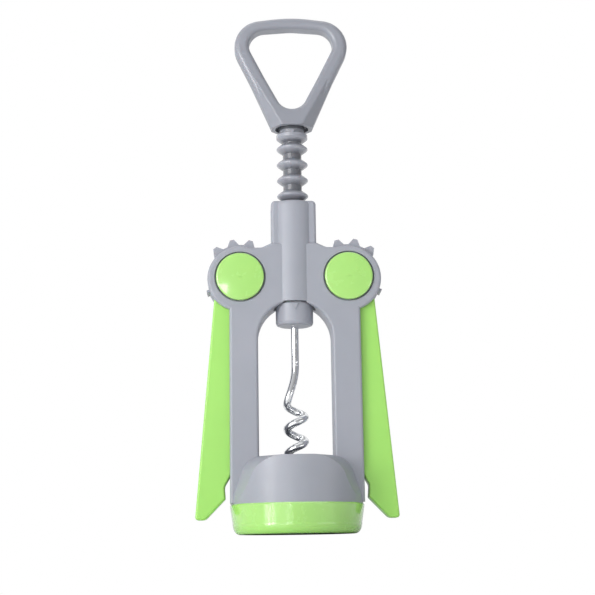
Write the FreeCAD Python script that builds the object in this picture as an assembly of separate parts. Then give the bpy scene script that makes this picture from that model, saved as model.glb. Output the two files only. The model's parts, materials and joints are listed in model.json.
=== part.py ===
"""Lever corkscrew with a ringed rack, two geared levers and a wire worm.

Millimetres, +Z up.  The origin is the centre of the foot that stands on the
table, the front of the tool faces -Y, and the two levers lie in the XZ plane.
The tool is shown with its levers down and its handle up.
"""
import FreeCAD
import Part
import math
import os

Vector = FreeCAD.Vector
X_AXIS = Vector(1, 0, 0)
Y_AXIS = Vector(0, 1, 0)
Z_AXIS = Vector(0, 0, 1)

# ---- driving dimensions ------------------------------------------------------

# foot and bell
bell_radius = 23.1
ring_radius = 23.5
ring_height = 10.4
ring_corner_width = 2.4
ring_corner_height = 3.6
ring_taper = 0.9
ring_lap = 1.2                # the ring's inner lip reaches this far under its top edge
neck_radius = 17.0            # bore that takes the mouth of the bottle
cork_radius = 13.0            # hole that lets the cork through
seat_height = 14.4            # the bottle's rim stops here
seat_thickness = 2.0
sleeve_wall = 1.5
bell_top = 26.9

# plates of the frame
plate_front = 6.7             # front face of a plate, from the middle plane
slot_half = 4.5               # half the gap between the two plates
plate_half_width = 23.2       # at the shoulders
plate_foot_half_width = 23.4
plate_top = 100.9
window_half_width = 13.15
window_wall = 2.0
window_top = 81.6

# lever pivots
pivot_x = 19.35
pivot_z = 90.4
hub_radius = 11.8
cap_radius = 8.5
cap_recess_radius = 9.1
cap_recess_depth = 1.5
cap_height = 3.0
pin_radius = 3.0
pin_lap = 1.0                 # how far an axle's end sits inside each cap
running_clearance = 0.05

# guide column
column_half_width = 8.05
column_depth = 5.8
column_top = 118.4
column_ledge = 102.7
tube_radius = 8.0
tube_bore = 5.83

# rack
ring_tip_radius = 5.65
rack_core_radius = 3.4
rack_pitch = 5.9
rack_bottom = 82.1
rack_top = 145.9
first_ring = 85.8
ring_count = 10
ring_land = 0.9
flank_angle = 35.0
flange_bottom = 141.9
flange_top = 144.4
flange_radius = 5.7
rack_neck_radius = 4.5        # between the flange and the handle
spindle_radius = 2.5
spindle_bottom = 76.4
spindle_top = 152.0

# lever gears
gear_tip_radius = 14.2
gear_root_radius = 12.1
gear_pitch_radius = 12.2
gear_half_thickness = 4.1
gear_cut_radius = 14.8
tooth_tip_width = 1.5
tooth_root_width = 4.2
tooth_count = 7
tooth_step = math.degrees(rack_pitch / gear_pitch_radius)
first_tooth_angle = 50.8      # the outermost tooth that shows above the right hub
arm_start_radius = 12.0
rim_radius = 11.4             # plain rim, hidden behind the plate
nib_radius = 12.8             # small stop that shows beside the hub
nib_angle = -22.5
nib_width = 4.0               # degrees
arm_edge_angle = -39.5        # where the arm's outer edge leaves the gear
toe_bottom = 5.2
tongue_angle = -75.0
bush_radius = 4.2

# collar and worm
collar_bottom = 73.3
collar_top = 81.3
collar_radius = 6.7
wire_radius = 1.35
worm_outer_radius = 4.45
worm_pitch = 8.7
worm_turns = 3
worm_tip = 19.1
shank_end = 59.0
lead_in_pull = 9.0            # strength of the tangents of the lead-in curve

# handle
handle_bottom = 146.5
handle_half_depth = 3.8
boss_half_width = 7.4
boss_half_depth = 7.4
recess_top = 148.2
base_top = 165.0              # the faceted base ends here
handle_outline = [(6.6, handle_bottom, 0), (25.9, 186.0, 10.0), (0, 189.3, 60.0)]
handle_hole = [(0, 146.3, 5.5), (18.8, 183.5, 6.0), (0, 184.9, 30.0)]
handle_outer_round = 2.1
handle_inner_round = 1.8


# ---- small building blocks ---------------------------------------------------

def rod(radius, low, high, axis=Z_AXIS, at=Vector(0, 0, 0)):
    """Cylinder along an axis, from low to high along it."""
    return Part.makeCylinder(radius, high - low, at + axis * low, axis)


def tube(outer, inner, low, high, axis=Z_AXIS, at=Vector(0, 0, 0)):
    """Round tube along an axis."""
    return rod(outer, low, high, axis, at).cut(rod(inner, low - 1, high + 1, axis, at))


def block(x, y, z):
    """Box from three (low, high) pairs."""
    corner = Vector(x[0], y[0], z[0])
    return Part.makeBox(x[1] - x[0], y[1] - y[0], z[1] - z[0], corner)


def turned(profile):
    """Solid of revolution about Z from (radius, height) points."""
    points = [Vector(radius, 0, height) for radius, height in profile]
    face = Part.Face(Part.makePolygon(points + [points[0]]))
    return face.revolve(Vector(0, 0, 0), Z_AXIS, 360)


def rounded_wire(corners, y=0.0):
    """Closed XZ outline whose corners (x, z, radius) are rounded by arcs."""
    edges = []
    count = len(corners)
    ends = []
    for index in range(count):
        before = Vector(corners[index - 1][0], y, corners[index - 1][1])
        here = Vector(corners[index][0], y, corners[index][1])
        after = Vector(corners[(index + 1) % count][0], y, corners[(index + 1) % count][1])
        radius = corners[index][2]
        to_before = (before - here).normalize()
        to_after = (after - here).normalize()
        half = math.acos(max(-1.0, min(1.0, to_before.dot(to_after)))) / 2
        if radius <= 0 or abs(half - math.pi / 2) < 1e-4:
            ends.append((here, here, None))
            continue
        setback = radius / math.tan(half)
        bisector = (to_before + to_after).normalize()
        middle = here + bisector * (radius / math.sin(half) - radius)
        ends.append((here + to_before * setback, here + to_after * setback, middle))
    for index in range(count):
        start, end, middle = ends[index]
        if middle is not None:
            edges.append(Part.Arc(start, middle, end).toShape())
        following = ends[(index + 1) % count][0]
        if (following - end).Length > 1e-6:
            edges.append(Part.LineSegment(end, following).toShape())
    return Part.Wire(edges)


def plate_from(corners, y_low, y_high):
    """Flat piece: a rounded XZ outline extruded from y_low to y_high."""
    face = Part.Face(rounded_wire(corners, y_low))
    return face.extrude(Vector(0, y_high - y_low, 0))


def both_sides(half_outline):
    """Outline symmetric in X from its right half, listed bottom to top."""
    mirrored = [(-x, z, radius) for x, z, radius in reversed(half_outline) if x > 0]
    return half_outline + mirrored


def round_edges(solid, radius, wanted):
    """Fillet the edges for which wanted(edge) is true, if the kernel can."""
    edges = [edge for edge in solid.Edges if wanted(edge)]
    return solid.makeFillet(radius, edges) if edges else solid


def on_plane(edge, axis, value):
    """True when the whole edge lies in the plane axis = value."""
    low = getattr(edge.BoundBox, axis + "Min")
    high = getattr(edge.BoundBox, axis + "Max")
    return abs(low - value) < 1e-3 and abs(high - value) < 1e-3


def mirrored_x(shape):
    return shape.mirror(Vector(0, 0, 0), X_AXIS)


def mirrored_y(shape):
    return shape.mirror(Vector(0, 0, 0), Y_AXIS)


def fused(first, *others):
    """One clean solid from several overlapping ones."""
    return first.fuse(list(others)).removeSplitter()


# ---- frame shells ------------------------------------------------------------

def window_outline(grow=0.0, bottom=bell_top):
    """Right half of the window: straight sides under a round arch."""
    half_width = window_half_width + grow
    top = window_top + grow
    return both_sides([(half_width, bottom, 0), (half_width, top, half_width - 0.01)])


def plate():
    """Front plate: straight sides, two round hubs, and the window."""
    blank = plate_from(
        both_sides([
            (plate_foot_half_width, ring_height + 0.3, 0),
            (plate_half_width, pivot_z, 0),
            (pivot_x - 0.2, plate_top + 0.2, 0),
            (column_half_width + 3.5, plate_top + 0.2, 3.0),
            (column_half_width, column_ledge, 0),
        ]),
        -slot_half,
        -plate_front,
    )
    for side in (-1, 1):
        hub_centre = Vector(side * (pivot_x - 0.2), 0, pivot_z - 0.5)
        blank = blank.fuse(rod(hub_radius, -plate_front, -slot_half, Y_AXIS, hub_centre))
    blank = blank.removeSplitter()
    blank = blank.cut(plate_from(window_outline(), 0, -plate_front - 1))
    edge_round = 1.0
    return round_edges(
        blank,
        edge_round,
        lambda edge: on_plane(edge, "Y", -plate_front) and edge.BoundBox.ZMax > ring_height + 1,
    )


def bell_outline(foot_half_width, shoulder_half_width, top, corner, y):
    """Arched outline of the bell at one depth: leaning sides, round shoulders, flat top."""
    return rounded_wire(
        both_sides([
            (foot_half_width, ring_height - ring_lap, 0),
            (shoulder_half_width, top, corner),
        ]),
        y,
    )


def bell_half():
    """Front half of the bell: a cylinder whose shoulder is a drafted arch."""
    middle = bell_outline(23.7, 17.4, bell_top, 8.0, 0)
    near = bell_outline(23.7, 17.4, bell_top, 8.0, -plate_front)
    far = bell_outline(15.2, 13.0, bell_top - 0.6, 9.5, -bell_radius - 0.2)
    straight_part = Part.Face(middle).extrude(Vector(0, -plate_front, 0))
    drafted_part = Part.makeLoft([near, far], True, True)
    arch = straight_part.fuse(drafted_part)
    body = rod(bell_radius, ring_height - ring_lap, bell_top + 1).common(arch)
    return body.common(block((-30, 30), (-30, 0), (0, 40)))


def column_half():
    """Front half of the guide column: a box with a round tube before it."""
    shoulder = 1.5
    outline = both_sides([
        (column_half_width, window_top, 0),
        (column_half_width, column_top, shoulder),
    ])
    box_part = plate_from(outline, 0, -column_depth)
    box_part = round_edges(
        box_part,
        1.0,
        lambda edge: on_plane(edge, "Y", -column_depth) and edge.BoundBox.ZMax > window_top + 1,
    )
    round_part = rod(tube_radius, window_top, column_top)
    round_part = round_edges(round_part, shoulder, lambda edge: on_plane(edge, "Z", column_top))
    round_part = round_part.common(block((-10, 10), (-10, 0), (0, 200)))
    return fused(box_part, round_part)


def window_walls():
    """Walls that join the plates round the window."""
    outer = plate_from(window_outline(window_wall, bell_top - 3), 0, -slot_half - 0.5)
    inner = plate_from(window_outline(0, bell_top - 4), 1, -slot_half - 2)
    return outer.cut(inner)


def front_shell():
    """Front half of the moulded frame."""
    shell = fused(plate(), bell_half(), window_walls(), column_half())
    # room for the gears between the plates
    for side in (-1, 1):
        centre = Vector(side * pivot_x, 0, pivot_z)
        shell = shell.cut(rod(gear_cut_radius, -slot_half, slot_half, Y_AXIS, centre))
        shell = shell.cut(rod(pin_radius, -plate_front - 1, 0, Y_AXIS, centre))
        recess_floor = -plate_front + cap_recess_depth
        shell = shell.cut(rod(cap_recess_radius, -plate_front - 1, recess_floor, Y_AXIS, centre))
    # bores: rack above, cork and bottle neck below
    shell = shell.cut(rod(tube_bore, window_top - 1, column_top + 1))
    shell = shell.cut(rod(collar_radius + 0.9, window_top - 9, window_top))
    shell = shell.cut(rod(cork_radius, 0, bell_top + 1))
    shell = shell.cut(rod(neck_radius + sleeve_wall, 0, seat_height + seat_thickness))
    return shell.removeSplitter()


# ---- foot --------------------------------------------------------------------

def base_ring():
    """Soft ring round the foot, with a lip under the bell's wall."""
    bore = neck_radius + sleeve_wall
    foot_radius = ring_radius - ring_taper - ring_corner_width
    outline = [(bore, 0.3), (bore + 0.3, 0)]
    steps = 8
    for step in range(steps + 1):
        angle = math.radians(90 * step / steps)
        radius = foot_radius + ring_corner_width * math.sin(angle)
        outline.append((radius, ring_corner_height * (1 - math.cos(angle))))
    outline += [
        (ring_radius, ring_height - 0.5),
        (ring_radius - 0.4, ring_height),
        (bell_radius, ring_height),
        (bell_radius, ring_height - ring_lap),
        (bore, ring_height - ring_lap),
    ]
    return turned(outline)


def neck_sleeve():
    """Liner that centres the tool on the bottle's mouth."""
    outer = neck_radius + sleeve_wall
    return turned([
        (neck_radius + 0.7, 0.3),
        (outer, 0.9),
        (outer, seat_height + seat_thickness),
        (cork_radius, seat_height + seat_thickness),
        (cork_radius, seat_height),
        (neck_radius, seat_height),
        (neck_radius, 1.2),
    ])


# ---- levers ------------------------------------------------------------------

def pivot_pin(side):
    """Axle of one lever, held in both shells and both caps."""
    reach = plate_front - cap_recess_depth + pin_lap
    return rod(pin_radius, -reach, reach, Y_AXIS, Vector(side * pivot_x, 0, pivot_z))


def hub_cap(side, facing):
    """Domed cap over the end of an axle; facing -1 is the front one."""
    floor = plate_front - cap_recess_depth
    crown = floor + cap_height
    dome_rise = 0.5
    dome_radius = (cap_radius ** 2 + dome_rise ** 2) / (2 * dome_rise)
    cap = rod(cap_radius, floor, crown)
    cap = cap.common(Part.makeSphere(dome_radius, Vector(0, 0, crown - dome_radius)))
    cap = round_edges(cap, 0.6, lambda edge: edge.BoundBox.ZMin > floor + 0.5)
    cap = cap.cut(rod(pin_radius, floor - 1, floor + pin_lap))
    cap.rotate(Vector(0, 0, 0), X_AXIS, 90 if facing < 0 else -90)
    cap.translate(Vector(side * pivot_x, 0, pivot_z))
    return cap


def polar(radius, degrees):
    """Point of the XZ plane at an angle from +X, as seen from the front."""
    angle = math.radians(degrees)
    return Vector(radius * math.cos(angle), 0, radius * math.sin(angle))


def line(start, end):
    return Part.LineSegment(start, end).toShape()


def arc_about_pivot(radius, start, end):
    """Arc about the origin between two angles, in degrees."""
    middle = polar(radius, (start + end) / 2)
    return Part.Arc(polar(radius, start), middle, polar(radius, end)).toShape()


def lever_gear():
    """Toothed hub of the right lever: teeth toward the rack, a plain hub below."""
    tip_half = math.degrees(tooth_tip_width / 2 / gear_tip_radius)
    root_half = math.degrees(tooth_root_width / 2 / gear_root_radius)
    edges = []
    for index in range(tooth_count):
        centre = first_tooth_angle + index * tooth_step
        foot_in = polar(gear_root_radius, centre - root_half)
        tip_in = polar(gear_tip_radius, centre - tip_half)
        tip_out = polar(gear_tip_radius, centre + tip_half)
        foot_out = polar(gear_root_radius, centre + root_half)
        edges += [line(foot_in, tip_in), line(tip_in, tip_out), line(tip_out, foot_out)]
        if index < tooth_count - 1:
            next_foot = centre + tooth_step - root_half
            edges.append(arc_about_pivot(gear_root_radius, centre + root_half, next_foot))
    last = first_tooth_angle + (tooth_count - 1) * tooth_step + root_half
    nib_start = 360 + nib_angle - nib_width / 2
    nib_end = nib_start + nib_width
    first = 360 + first_tooth_angle - root_half
    edges.append(line(polar(gear_root_radius, last), polar(arm_start_radius, last)))
    edges.append(arc_about_pivot(arm_start_radius, last, nib_start))
    edges.append(line(polar(arm_start_radius, nib_start), polar(nib_radius, nib_start)))
    edges.append(arc_about_pivot(nib_radius, nib_start, nib_end))
    edges.append(line(polar(nib_radius, nib_end), polar(rim_radius, nib_end)))
    edges.append(arc_about_pivot(rim_radius, nib_end, first))
    edges.append(line(polar(rim_radius, first), polar(gear_root_radius, first)))
    face = Part.Face(Part.Wire(edges))
    face.translate(Vector(pivot_x, -gear_half_thickness, pivot_z))
    gear = face.extrude(Vector(0, 2 * gear_half_thickness, 0))
    centre = Vector(pivot_x, 0, pivot_z)
    gear = gear.cut(rod(bush_radius, -5, 5, Y_AXIS, centre))
    return gear.cut(arm_tongue()).cut(arm_rivet())


def arm_tongue():
    """Tongue of the arm that sits in a slot of the gear."""
    inner = 7.0
    tongue = block((inner, arm_start_radius + 2), (-1.6, 1.6), (-3.6, 3.6))
    tongue.rotate(Vector(0, 0, 0), Y_AXIS, -tongue_angle)
    tongue.translate(Vector(pivot_x, 0, pivot_z))
    return tongue


def arm_rivet():
    """Rivet through gear and tongue."""
    centre = Vector(pivot_x, 0, pivot_z) + polar(9.6, tongue_angle)
    return rod(1.2, -gear_half_thickness, gear_half_thickness, Y_AXIS, centre)


def lever_arm():
    """Right arm: a long blade that follows the bell and ends in a blunt toe."""
    arm_start = polar(arm_start_radius, arm_edge_angle)
    inner_edge = pivot_x - 2.5
    outline = [
        (inner_edge, pivot_z - 8.0, 0),
        (inner_edge, bell_top + 2.3, 3.0),
        (20.5, 25.6, 8.0),
        (23.3, 20.1, 6.0),
        (25.3, 16.6, 3.0),
        (25.0, 12.4, 0.8),
        (32.0, toe_bottom, 2.5),
        (35.6, toe_bottom, 1.0),
        (pivot_x + arm_start.x, pivot_z + arm_start.z, 0),
        (pivot_x + 5.0, pivot_z - 4.2, 0),
    ]
    blade = plate_from(outline, -gear_half_thickness, gear_half_thickness)
    blade = round_edges(
        blade,
        0.7,
        lambda edge: abs(edge.BoundBox.YMax - edge.BoundBox.YMin) < 1e-3
        and edge.BoundBox.ZMax < pivot_z - 4.5,
    )
    centre = Vector(pivot_x, 0, pivot_z)
    blade = blade.cut(rod(arm_start_radius, -5, 5, Y_AXIS, centre))
    tongue = arm_tongue()
    return fused(blade, tongue).cut(arm_rivet())


def pivot_bush():
    """Bush between the axle and the gear."""
    centre = Vector(pivot_x, 0, pivot_z)
    bore = pin_radius + running_clearance
    return tube(bush_radius, bore, -gear_half_thickness, gear_half_thickness, Y_AXIS, centre)


# ---- rack --------------------------------------------------------------------

def rack_sleeve():
    """Sleeve turned with rings that mesh with the lever gears."""
    bore = spindle_radius + running_clearance
    flank = (ring_tip_radius - rack_core_radius) * math.tan(math.radians(flank_angle))
    outline = [(bore, rack_bottom), (rack_core_radius, rack_bottom)]
    for index in range(ring_count):
        centre = first_ring + index * rack_pitch
        outline += [
            (rack_core_radius, centre - ring_land / 2 - flank),
            (ring_tip_radius - 0.4, centre - ring_land / 2 - 0.2),
            (ring_tip_radius, centre - ring_land / 4),
            (ring_tip_radius, centre + ring_land / 4),
            (ring_tip_radius - 0.4, centre + ring_land / 2 + 0.2),
            (rack_core_radius, centre + ring_land / 2 + flank),
        ]
    outline += [
        (rack_core_radius, flange_bottom - 0.6),
        (4.6, flange_bottom),
        (flange_radius, flange_bottom + 0.9),
        (flange_radius, flange_top - 0.3),
        (flange_radius - 0.4, flange_top),
        (rack_neck_radius, flange_top),
        (rack_neck_radius, rack_top),
        (bore, rack_top),
    ]
    # a small catch marks the front of the flange; it stays within the tube's bore
    catch_front = -flange_radius - 0.04
    catch = Part.makePolygon([
        Vector(-0.7, catch_front, flange_top + 0.5),
        Vector(0.7, catch_front, flange_top + 0.5),
        Vector(0, catch_front, flange_top - 1.3),
        Vector(-0.7, catch_front, flange_top + 0.5),
    ])
    return fused(turned(outline), Part.Face(catch).extrude(Vector(0, 1.2, 0)))


def upper_thrust_washer():
    return tube(4.6, spindle_radius, rack_top + running_clearance, recess_top)


def lower_thrust_washer():
    return tube(5.2, spindle_radius, collar_top, rack_bottom - 0.1)


# ---- screw -------------------------------------------------------------------

def spindle():
    """Steel rod from the handle through the rack to the collar."""
    solid = rod(spindle_radius, spindle_bottom, spindle_top)
    return solid.cut(handle_pin()).cut(collar_pin())


def handle_pin():
    return rod(1.2, -6.2, 6.2, Y_AXIS, Vector(0, 0, spindle_top - 2.0))


def collar_pin():
    return rod(0.8, -5.4, 5.4, Y_AXIS, Vector(0, 0, spindle_bottom + 2.4))


def worm_collar():
    """Collar that clamps the worm's shank below the spindle."""
    solid = turned([
        (0, collar_bottom),
        (collar_radius - 1.2, collar_bottom),
        (collar_radius - 0.35, collar_bottom + 0.35),
        (collar_radius, collar_bottom + 1.2),
        (collar_radius, collar_top - 0.4),
        (collar_radius - 0.4, collar_top),
        (0, collar_top),
    ])
    catch_front = -collar_radius - 0.35
    catch = Part.makePolygon([
        Vector(-1.6, catch_front, collar_top - 0.5),
        Vector(1.2, catch_front, collar_top - 0.5),
        Vector(0.1, catch_front, collar_top - 3.0),
        Vector(-1.6, catch_front, collar_top - 0.5),
    ])
    solid = fused(solid, Part.Face(catch).extrude(Vector(0, 1.5, 0)))
    solid = solid.cut(rod(spindle_radius, spindle_bottom, collar_top + 1))
    solid = solid.cut(rod(wire_radius, collar_bottom - 1, spindle_bottom))
    return solid.cut(collar_pin())


def worm():
    """Right-handed wire worm: a straight shank, a lead-in, then the helix."""
    helix_radius = worm_outer_radius - wire_radius
    rise = worm_pitch / (2 * math.pi)
    helix = Part.makeHelix(worm_pitch, worm_turns * worm_pitch, helix_radius)
    helix.rotate(Vector(0, 0, 0), Z_AXIS, 180)
    helix.translate(Vector(0, 0, worm_tip))
    # the helix starts and ends on the left, where it runs toward the front as it climbs
    start = Vector(-helix_radius, 0, worm_tip)
    along = Vector(0, -helix_radius, rise)
    helix_end = Vector(-helix_radius, 0, worm_tip + worm_turns * worm_pitch)
    shank_start = Vector(0, 0, shank_end)
    lead = Part.BSplineCurve()
    lead.interpolate(
        Points=[helix_end, shank_start],
        InitialTangent=Vector(along).normalize() * lead_in_pull,
        FinalTangent=Z_AXIS * lead_in_pull * 1.5,
    )
    shank = line(shank_start, Vector(0, 0, spindle_bottom))
    path = Part.Wire(helix.Edges + [lead.toShape(), shank])
    section = Part.Wire(Part.makeCircle(wire_radius, start, along))
    wire = path.makePipeShell([section], True, True)
    point = Part.makeCone(wire_radius, 0.25, 3.4, start, -along)
    return fused(wire, point)


# ---- handle ------------------------------------------------------------------

def base_section(half_width, half_depth, corner_x, corner_y, z):
    """Eight-sided section of the handle's base; the corners are cut by (corner_x, corner_y)."""
    quarter = [(half_width - corner_x, half_depth), (half_width, half_depth - corner_y)]
    right = [(x, -y) for x, y in quarter] + list(reversed(quarter))
    points = [Vector(x, y, z) for x, y in right]
    points += [Vector(-x, y, z) for x, y in reversed(right)]
    return Part.makePolygon(points + [points[0]])


def handle_base():
    """Faceted body that the legs run into, with softened ridges."""
    low, high = handle_outline[0], handle_outline[1]
    share = (base_top - low[1]) / (high[1] - low[1])
    leg_half_width = low[0] + share * (high[0] - low[0])
    corner = handle_outer_round
    base = Part.makeLoft(
        [
            base_section(boss_half_width, boss_half_depth, 3.7, 4.9, handle_bottom),
            base_section(leg_half_width, handle_half_depth, corner, corner, base_top),
        ],
        True,
        True,
    )
    return round_edges(base, 1.0, lambda edge: edge.BoundBox.ZLength > 5)


def handle():
    """Triangular ring whose legs run into the base over the rack."""
    ring = plate_from(both_sides(handle_outline), -handle_half_depth, handle_half_depth)
    ring = round_edges(
        ring,
        handle_outer_round,
        lambda edge: edge.BoundBox.YLength < 1e-3 and edge.BoundBox.ZMax > handle_bottom + 1.0,
    )
    hole = plate_from(both_sides(handle_hole), -10, 10)
    solid = ring.fuse(handle_base()).cut(hole)

    def on_hole_rim(edge):
        middle = edge.valueAt((edge.FirstParameter + edge.LastParameter) / 2)
        distance = min(face.distToShape(Part.Vertex(middle))[0] for face in hole.Faces)
        return distance < 1e-4 and abs(middle.y) > handle_half_depth - 0.3

    solid = round_edges(solid, handle_inner_round, on_hole_rim)
    solid = solid.cut(rod(flange_radius + 0.4, handle_bottom - 1, recess_top))
    solid = solid.cut(rod(spindle_radius, handle_bottom, spindle_top))
    return solid.cut(handle_pin())


# ---- the tool ----------------------------------------------------------------

def build():
    """Every separate piece, by name."""
    nodes = {
        "front_shell": front_shell(),
        "base_ring": base_ring(),
        "neck_sleeve": neck_sleeve(),
        "rack_sleeve": rack_sleeve(),
        "upper_thrust_washer": upper_thrust_washer(),
        "lower_thrust_washer": lower_thrust_washer(),
        "spindle": spindle(),
        "handle": handle(),
        "handle_pin": handle_pin(),
        "worm_collar": worm_collar(),
        "collar_pin": collar_pin(),
        "worm": worm(),
    }
    nodes["rear_shell"] = mirrored_y(nodes["front_shell"])
    lever_pieces = {
        "lever_gear": lever_gear(),
        "lever_arm": lever_arm(),
        "arm_rivet": arm_rivet(),
        "pivot_bush": pivot_bush(),
    }
    for name, shape in lever_pieces.items():
        nodes["right_" + name] = shape
        nodes["left_" + name] = mirrored_x(shape)
    for side, side_name in ((-1, "left"), (1, "right")):
        nodes[side_name + "_pivot_pin"] = pivot_pin(side)
        for facing, facing_name in ((-1, "front"), (1, "rear")):
            nodes[side_name + "_" + facing_name + "_cap"] = hub_cap(side, facing)
    return nodes


os.makedirs("parts", exist_ok=True)
for name, shape in build().items():
    shape.exportStep("parts/" + name + ".step")
    print(name, "solids", len(shape.Solids), "valid", shape.isValid(), "volume", round(shape.Volume, 1))
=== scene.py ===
"""Looks of the lever corkscrew: materials, studio and camera."""

import json
import math

import bpy
from mathutils import Matrix, Vector


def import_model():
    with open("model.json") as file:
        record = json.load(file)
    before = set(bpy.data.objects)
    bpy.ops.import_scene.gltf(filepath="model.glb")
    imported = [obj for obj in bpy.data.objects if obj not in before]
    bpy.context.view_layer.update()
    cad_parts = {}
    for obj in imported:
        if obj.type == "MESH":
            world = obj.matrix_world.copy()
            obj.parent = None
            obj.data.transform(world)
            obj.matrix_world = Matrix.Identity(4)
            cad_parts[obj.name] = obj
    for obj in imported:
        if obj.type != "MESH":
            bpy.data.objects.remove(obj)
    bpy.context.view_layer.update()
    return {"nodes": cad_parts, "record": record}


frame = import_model()

MM = 0.001
FLOOR_GAP = 0.05 * MM         # keeps the floor just clear of the foot
LIGHT_TARGET = Vector((0, 0, 0.09))
# the rack's painted shade fades out between these two radii
GROOVE_BOTTOM = 3.4 * MM      # radii of the rack's grooves
GROOVE_TOP = 5.4 * MM

# ---- material building blocks ------------------------------------------------

class Nodes:
    """Short names for building one material's node tree."""

    def __init__(self, name):
        self.material = bpy.data.materials.new(name)
        self.material.use_nodes = True
        self.tree = self.material.node_tree
        self.shader = self.tree.nodes["Principled BSDF"]
        coords = self.tree.nodes.new("ShaderNodeTexCoord")
        self.place = coords.outputs["Object"]

    def set(self, **values):
        for name, value in values.items():
            self.shader.inputs[name.replace("_", " ")].default_value = value

    def stretched(self, scale):
        """Object coordinates multiplied per axis."""
        mapping = self.tree.nodes.new("ShaderNodeMapping")
        mapping.inputs["Scale"].default_value = scale
        self.tree.links.new(self.place, mapping.inputs["Vector"])
        return mapping.outputs["Vector"]

    def noise(self, scale, detail=3.0, roughness=0.5, place=None):
        node = self.tree.nodes.new("ShaderNodeTexNoise")
        node.inputs["Scale"].default_value = scale
        node.inputs["Detail"].default_value = detail
        node.inputs["Roughness"].default_value = roughness
        self.tree.links.new(place or self.place, node.inputs["Vector"])
        return node.outputs["Fac"]

    def ramp(self, factor, low, high, start=0.3, end=0.7):
        """Maps a factor onto numbers from low to high."""
        node = self.tree.nodes.new("ShaderNodeMapRange")
        node.inputs["From Min"].default_value = start
        node.inputs["From Max"].default_value = end
        node.inputs["To Min"].default_value = low
        node.inputs["To Max"].default_value = high
        self.tree.links.new(factor, node.inputs["Value"])
        return node.outputs["Result"]

    def blend(self, factor, first, second):
        """Colour between two colours."""
        node = self.tree.nodes.new("ShaderNodeMix")
        node.data_type = "RGBA"
        node.inputs["A"].default_value = (*first, 1)
        node.inputs["B"].default_value = (*second, 1)
        self.tree.links.new(factor, node.inputs["Factor"])
        return node.outputs["Result"]

    def plug(self, output, name):
        self.tree.links.new(output, self.shader.inputs[name])

    def bumps(self, layers):
        """Chain of bump layers, each (height, strength, distance)."""
        normal = None
        for height, strength, distance in layers:
            node = self.tree.nodes.new("ShaderNodeBump")
            node.inputs["Strength"].default_value = strength
            node.inputs["Distance"].default_value = distance
            self.tree.links.new(height, node.inputs["Height"])
            if normal:
                self.tree.links.new(normal, node.inputs["Normal"])
            normal = node.outputs["Normal"]
        self.plug(normal, "Normal")


def moulded_plastic(
    name, colour, shade, roughness, coat, grain, coat_ior=1.5, polish=0.08, waves=0.08
):
    """Injection-moulded plastic: faint flow marks, fine grain and uneven gloss.

    grain and waves are the strengths of the fine and the broad relief.
    """
    n = Nodes(name)
    clouds = n.noise(38, 4, 0.6)
    n.plug(n.blend(n.ramp(clouds, 0, 1), colour, shade), "Base Color")
    gloss = n.noise(210, 5, 0.65)
    n.plug(n.ramp(gloss, roughness - 0.05, roughness + 0.05), "Roughness")
    n.set(IOR=1.49, Coat_Weight=coat, Coat_Roughness=polish, Coat_IOR=coat_ior)
    n.set(Subsurface_Weight=0.06, Subsurface_Scale=0.002)
    n.bumps([
        (n.noise(90, 1, 0.4), waves, 0.0004),
        (n.noise(1500, 2, 0.5), grain, 0.00003),
    ])
    return n.material


def painted_groove_shade(material, inner, outer, dark):
    """Painted shade: darkens a turned part from its outer radius down to the bottom of its
    grooves, standing in for the shade in the grooves and the neck.
    """
    tree = material.node_tree
    shader = tree.nodes["Principled BSDF"]
    colour = shader.inputs["Base Color"].links[0].from_socket
    coords = tree.nodes.new("ShaderNodeTexCoord")
    flat = tree.nodes.new("ShaderNodeVectorMath")
    flat.operation = "MULTIPLY"
    flat.inputs[1].default_value = (1, 1, 0)
    length = tree.nodes.new("ShaderNodeVectorMath")
    length.operation = "LENGTH"
    # painted shade factor: dark at the inner radius, none at the outer radius
    shade = tree.nodes.new("ShaderNodeMapRange")
    shade.inputs["From Min"].default_value = inner
    shade.inputs["From Max"].default_value = outer
    shade.inputs["To Min"].default_value = dark
    shade.inputs["To Max"].default_value = 1.0
    scale = tree.nodes.new("ShaderNodeVectorMath")
    scale.operation = "SCALE"
    tree.links.new(coords.outputs["Object"], flat.inputs[0])
    tree.links.new(flat.outputs["Vector"], length.inputs[0])
    tree.links.new(length.outputs["Value"], shade.inputs["Value"])
    tree.links.new(colour, scale.inputs["Vector"])
    tree.links.new(shade.outputs["Result"], scale.inputs["Scale"])
    tree.links.new(scale.outputs["Vector"], shader.inputs["Base Color"])
    return material


def brushed_metal(name, colour, roughness):
    """Turned steel with fine lines round the axis of the part."""
    n = Nodes(name)
    lines = n.noise(1.0, 4, 0.7, n.stretched((300, 300, 9000)))
    n.plug(n.blend(n.ramp(lines, 0, 1), colour, [c * 0.8 for c in colour]), "Base Color")
    n.plug(n.ramp(lines, roughness, roughness + 0.15), "Roughness")
    n.set(Metallic=1.0)
    n.bumps([(lines, 0.15, 0.00003)])
    return n.material


def plated_wire(name):
    """Bright plating over drawn wire: small waves and a few dull spots."""
    n = Nodes(name)
    dull = n.noise(420, 5, 0.7)
    spots = n.ramp(dull, 0, 1, 0.55, 0.75)
    n.plug(n.blend(spots, (0.86, 0.87, 0.88), (0.66, 0.67, 0.69)), "Base Color")
    n.plug(n.ramp(dull, 0.06, 0.22, 0.45, 0.8), "Roughness")
    n.set(Metallic=1.0)
    n.bumps([(n.noise(260, 2, 0.5), 0.35, 0.0004)])
    return n.material


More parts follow.
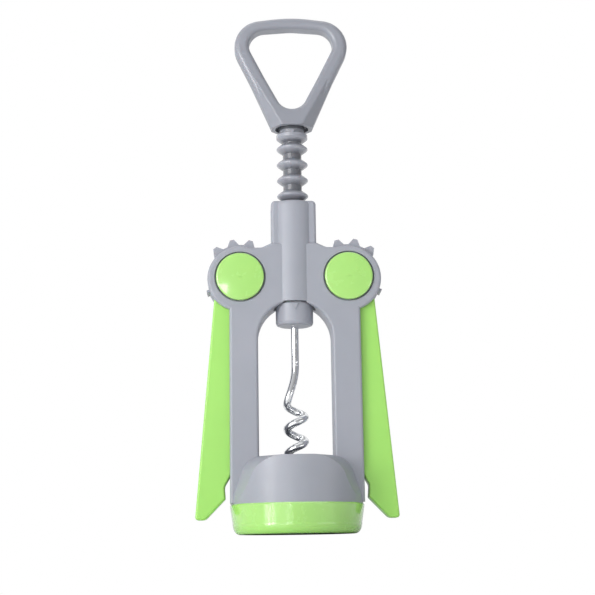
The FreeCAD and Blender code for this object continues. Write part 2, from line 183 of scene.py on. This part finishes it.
materials = {
    "grey_plastic": moulded_plastic(
        "grey_plastic", (0.36, 0.37, 0.42), (0.33, 0.345, 0.39), 0.40, 0.04, 0.3
    ),
    # darker copy of the grey plastic: painted shade for the handle, which gets less light;
    # the higher gloss is its own
    "grey_gloss_painted_shade": moulded_plastic(
        "grey_gloss_painted_shade", (0.295, 0.305, 0.347), (0.272, 0.282, 0.32), 0.34, 0.35, 0.01,
        polish=0.28, waves=0.02
    ),
    "green_plastic": moulded_plastic(
        "green_plastic", (0.37, 0.74, 0.15), (0.35, 0.71, 0.14), 0.38, 0.1, 0.3
    ),
    "green_gloss": moulded_plastic(
        "green_gloss", (0.40, 0.76, 0.17), (0.38, 0.73, 0.16), 0.25, 1.0, 0.06,
        coat_ior=1.8
    ),
    "liner_plastic": moulded_plastic(
        "liner_plastic", (0.50, 0.52, 0.55), (0.46, 0.48, 0.51), 0.45, 0.0, 0.3
    ),
    "washer_plastic": moulded_plastic(
        "washer_plastic", (0.74, 0.74, 0.70), (0.70, 0.70, 0.66), 0.4, 0.0, 0.3
    ),
    # painted shade: near-black plastic for the upper washer, standing in for the shadow in
    # the gap under the handle
    "washer_painted_shade": moulded_plastic(
        "washer_painted_shade", (0.10, 0.105, 0.12), (0.085, 0.09, 0.105), 0.45, 0.0, 0.3
    ),
    # darker copy of the grey plastic, with painted shade darkening the rack's grooves and
    # neck
    "rack_grey_painted_shade": painted_groove_shade(
        moulded_plastic(
            "rack_grey_painted_shade", (0.34, 0.35, 0.395), (0.31, 0.32, 0.365), 0.30, 0.8, 0.04,
            coat_ior=1.7, polish=0.12
        ),
        GROOVE_BOTTOM, GROOVE_TOP, 0.4
    ),
    "steel": brushed_metal("steel", (0.58, 0.58, 0.60), 0.25),
    "chrome_wire": plated_wire("chrome_wire"),
}


def paint(obj, material):
    obj.data.materials.clear()
    obj.data.materials.append(material)


FINISHES = {
    "base_ring": "green_gloss",
    "left_front_cap": "green_gloss",
    "right_front_cap": "green_gloss",
    "left_rear_cap": "green_gloss",
    "right_rear_cap": "green_gloss",
    "handle": "grey_gloss_painted_shade",
    "rack_sleeve": "rack_grey_painted_shade",
    # near-black washer: painted shade under the handle
    "upper_thrust_washer": "washer_painted_shade",
}
for part in frame["record"]["subparts"]:
    name = part["node"]
    paint(frame["nodes"][name], materials[FINISHES.get(name, part["material_slot"])])


# ---- studio ------------------------------------------------------------------

def floor():
    """Pale floor that the tool stands on."""
    half = 3.0
    mesh = bpy.data.meshes.new("floor")
    corners = [(-half, -half, 0), (half, -half, 0), (half, half, 0), (-half, half, 0)]
    mesh.from_pydata(corners, [], [(0, 1, 2, 3)])
    obj = bpy.data.objects.new("floor", mesh)
    bpy.context.collection.objects.link(obj)
    n = Nodes("pale_floor")
    n.plug(n.blend(n.noise(3, 2, 0.5), (0.90, 0.90, 0.90), (0.93, 0.93, 0.93)), "Base Color")
    # polished round the foot, matt further out
    spread = n.tree.nodes.new("ShaderNodeVectorMath")
    spread.operation = "LENGTH"
    n.tree.links.new(n.place, spread.inputs[0])
    n.plug(n.ramp(spread.outputs["Value"], 0.2, 0.85, 0.05, 0.24), "Roughness")
    # the far floor glows a little, so that it stays as pale as the near floor
    n.shader.inputs["Emission Color"].default_value = (0.97, 0.98, 1.0, 1)
    n.plug(n.ramp(spread.outputs["Value"], 0.0, 0.42, 0.35, 1.3), "Emission Strength")
    n.set(IOR=1.5)
    # the low camera looks from just under the table's edge, so the underside is clear
    sides = n.tree.nodes.new("ShaderNodeNewGeometry")
    clear = n.tree.nodes.new("ShaderNodeBsdfTransparent")
    mix = n.tree.nodes.new("ShaderNodeMixShader")
    n.tree.links.new(sides.outputs["Backfacing"], mix.inputs["Fac"])
    n.tree.links.new(n.shader.outputs["BSDF"], mix.inputs[1])
    n.tree.links.new(clear.outputs["BSDF"], mix.inputs[2])
    n.tree.links.new(mix.outputs["Shader"], n.tree.nodes["Material Output"].inputs["Surface"])
    obj.data.materials.append(n.material)
    obj.location.z = -FLOOR_GAP


def panel(name, azimuth, elevation, distance, size, watts):
    """Soft box at an angle round the tool; azimuth 0 is in front, positive to the right."""
    turn = math.radians(azimuth)
    lift = math.radians(elevation)
    way = Vector((
        math.sin(turn) * math.cos(lift),
        -math.cos(turn) * math.cos(lift),
        math.sin(lift),
    ))
    light = bpy.data.lights.new(name, "AREA")
    light.shape = "RECTANGLE"
    light.size, light.size_y = size
    light.energy = watts
    obj = bpy.data.objects.new(name, light)
    bpy.context.collection.objects.link(obj)
    obj.location = LIGHT_TARGET + way * distance
    obj.rotation_mode = "QUATERNION"
    obj.rotation_quaternion = (-way).to_track_quat("-Z", "Y")


def world():
    """White to the camera, a softer and uneven studio to reflections."""
    scene_world = bpy.data.worlds.new("studio")
    bpy.context.scene.world = scene_world
    scene_world.use_nodes = True
    tree = scene_world.node_tree
    background = tree.nodes["Background"]
    seen = tree.nodes.new("ShaderNodeBackground")
    seen.inputs["Color"].default_value = (1, 1, 1, 1)
    seen.inputs["Strength"].default_value = 1.0
    coords = tree.nodes.new("ShaderNodeTexCoord")
    parts = tree.nodes.new("ShaderNodeSeparateXYZ")
    tree.links.new(coords.outputs["Generated"], parts.inputs["Vector"])
    shade = tree.nodes.new("ShaderNodeMapRange")
    shade.inputs["From Min"].default_value = -1.0
    shade.inputs["From Max"].default_value = 1.0
    shade.inputs["To Min"].default_value = 0.75
    shade.inputs["To Max"].default_value = 0.28
    tree.links.new(parts.outputs["X"], shade.inputs["Value"])
    tree.links.new(shade.outputs["Result"], background.inputs["Strength"])
    background.inputs["Color"].default_value = (0.97, 0.98, 1.0, 1)
    path = tree.nodes.new("ShaderNodeLightPath")
    mix = tree.nodes.new("ShaderNodeMixShader")
    tree.links.new(path.outputs["Is Camera Ray"], mix.inputs["Fac"])
    tree.links.new(background.outputs["Background"], mix.inputs[1])
    tree.links.new(seen.outputs["Background"], mix.inputs[2])
    tree.links.new(mix.outputs["Shader"], tree.nodes["World Output"].inputs["Surface"])


def camera():
    """Low camera in front of the tool, tilted up at it."""
    height = -6.6 * MM
    distance = 495 * MM
    heading = math.radians(2.0)
    pitch = math.radians(10.36)
    roll = math.radians(-0.87)
    across = 1.2 * MM
    data = bpy.data.cameras.new("camera")
    data.lens = 84.7
    data.sensor_width = 36
    data.clip_start = 0.01
    data.clip_end = 20
    obj = bpy.data.objects.new("camera", data)
    bpy.context.collection.objects.link(obj)
    obj.rotation_mode = "QUATERNION"
    look = Vector((
        math.sin(heading) * math.cos(pitch),
        math.cos(heading) * math.cos(pitch),
        math.sin(pitch),
    ))
    obj.location = Vector((
        across - distance * math.sin(heading),
        -distance * math.cos(heading),
        height,
    ))
    turned = look.to_track_quat("-Z", "Y").to_matrix() @ Matrix.Rotation(roll, 3, "Z")
    obj.rotation_quaternion = turned.to_quaternion()
    bpy.context.scene.camera = obj


floor()
panel("key", -36, 4, 0.75, (0.50, 0.60), 1.9)
panel("window", -50, -2, 0.70, (0.24, 0.34), 2.2)
panel("fill", 50, -2, 0.8, (0.5, 0.16), 0.45)
panel("glint", -15, 2, 0.60, (0.11, 0.09), 0.18)
panel("top", 180, 84, 1.6, (1.8, 1.8), 8.0)
panel("back_left", -140, 30, 1.2, (0.7, 0.7), 0.8)
panel("back_right", 150, 30, 1.2, (0.7, 0.7), 0.8)
world()
camera()
bpy.context.scene.view_settings.view_transform = "Standard"
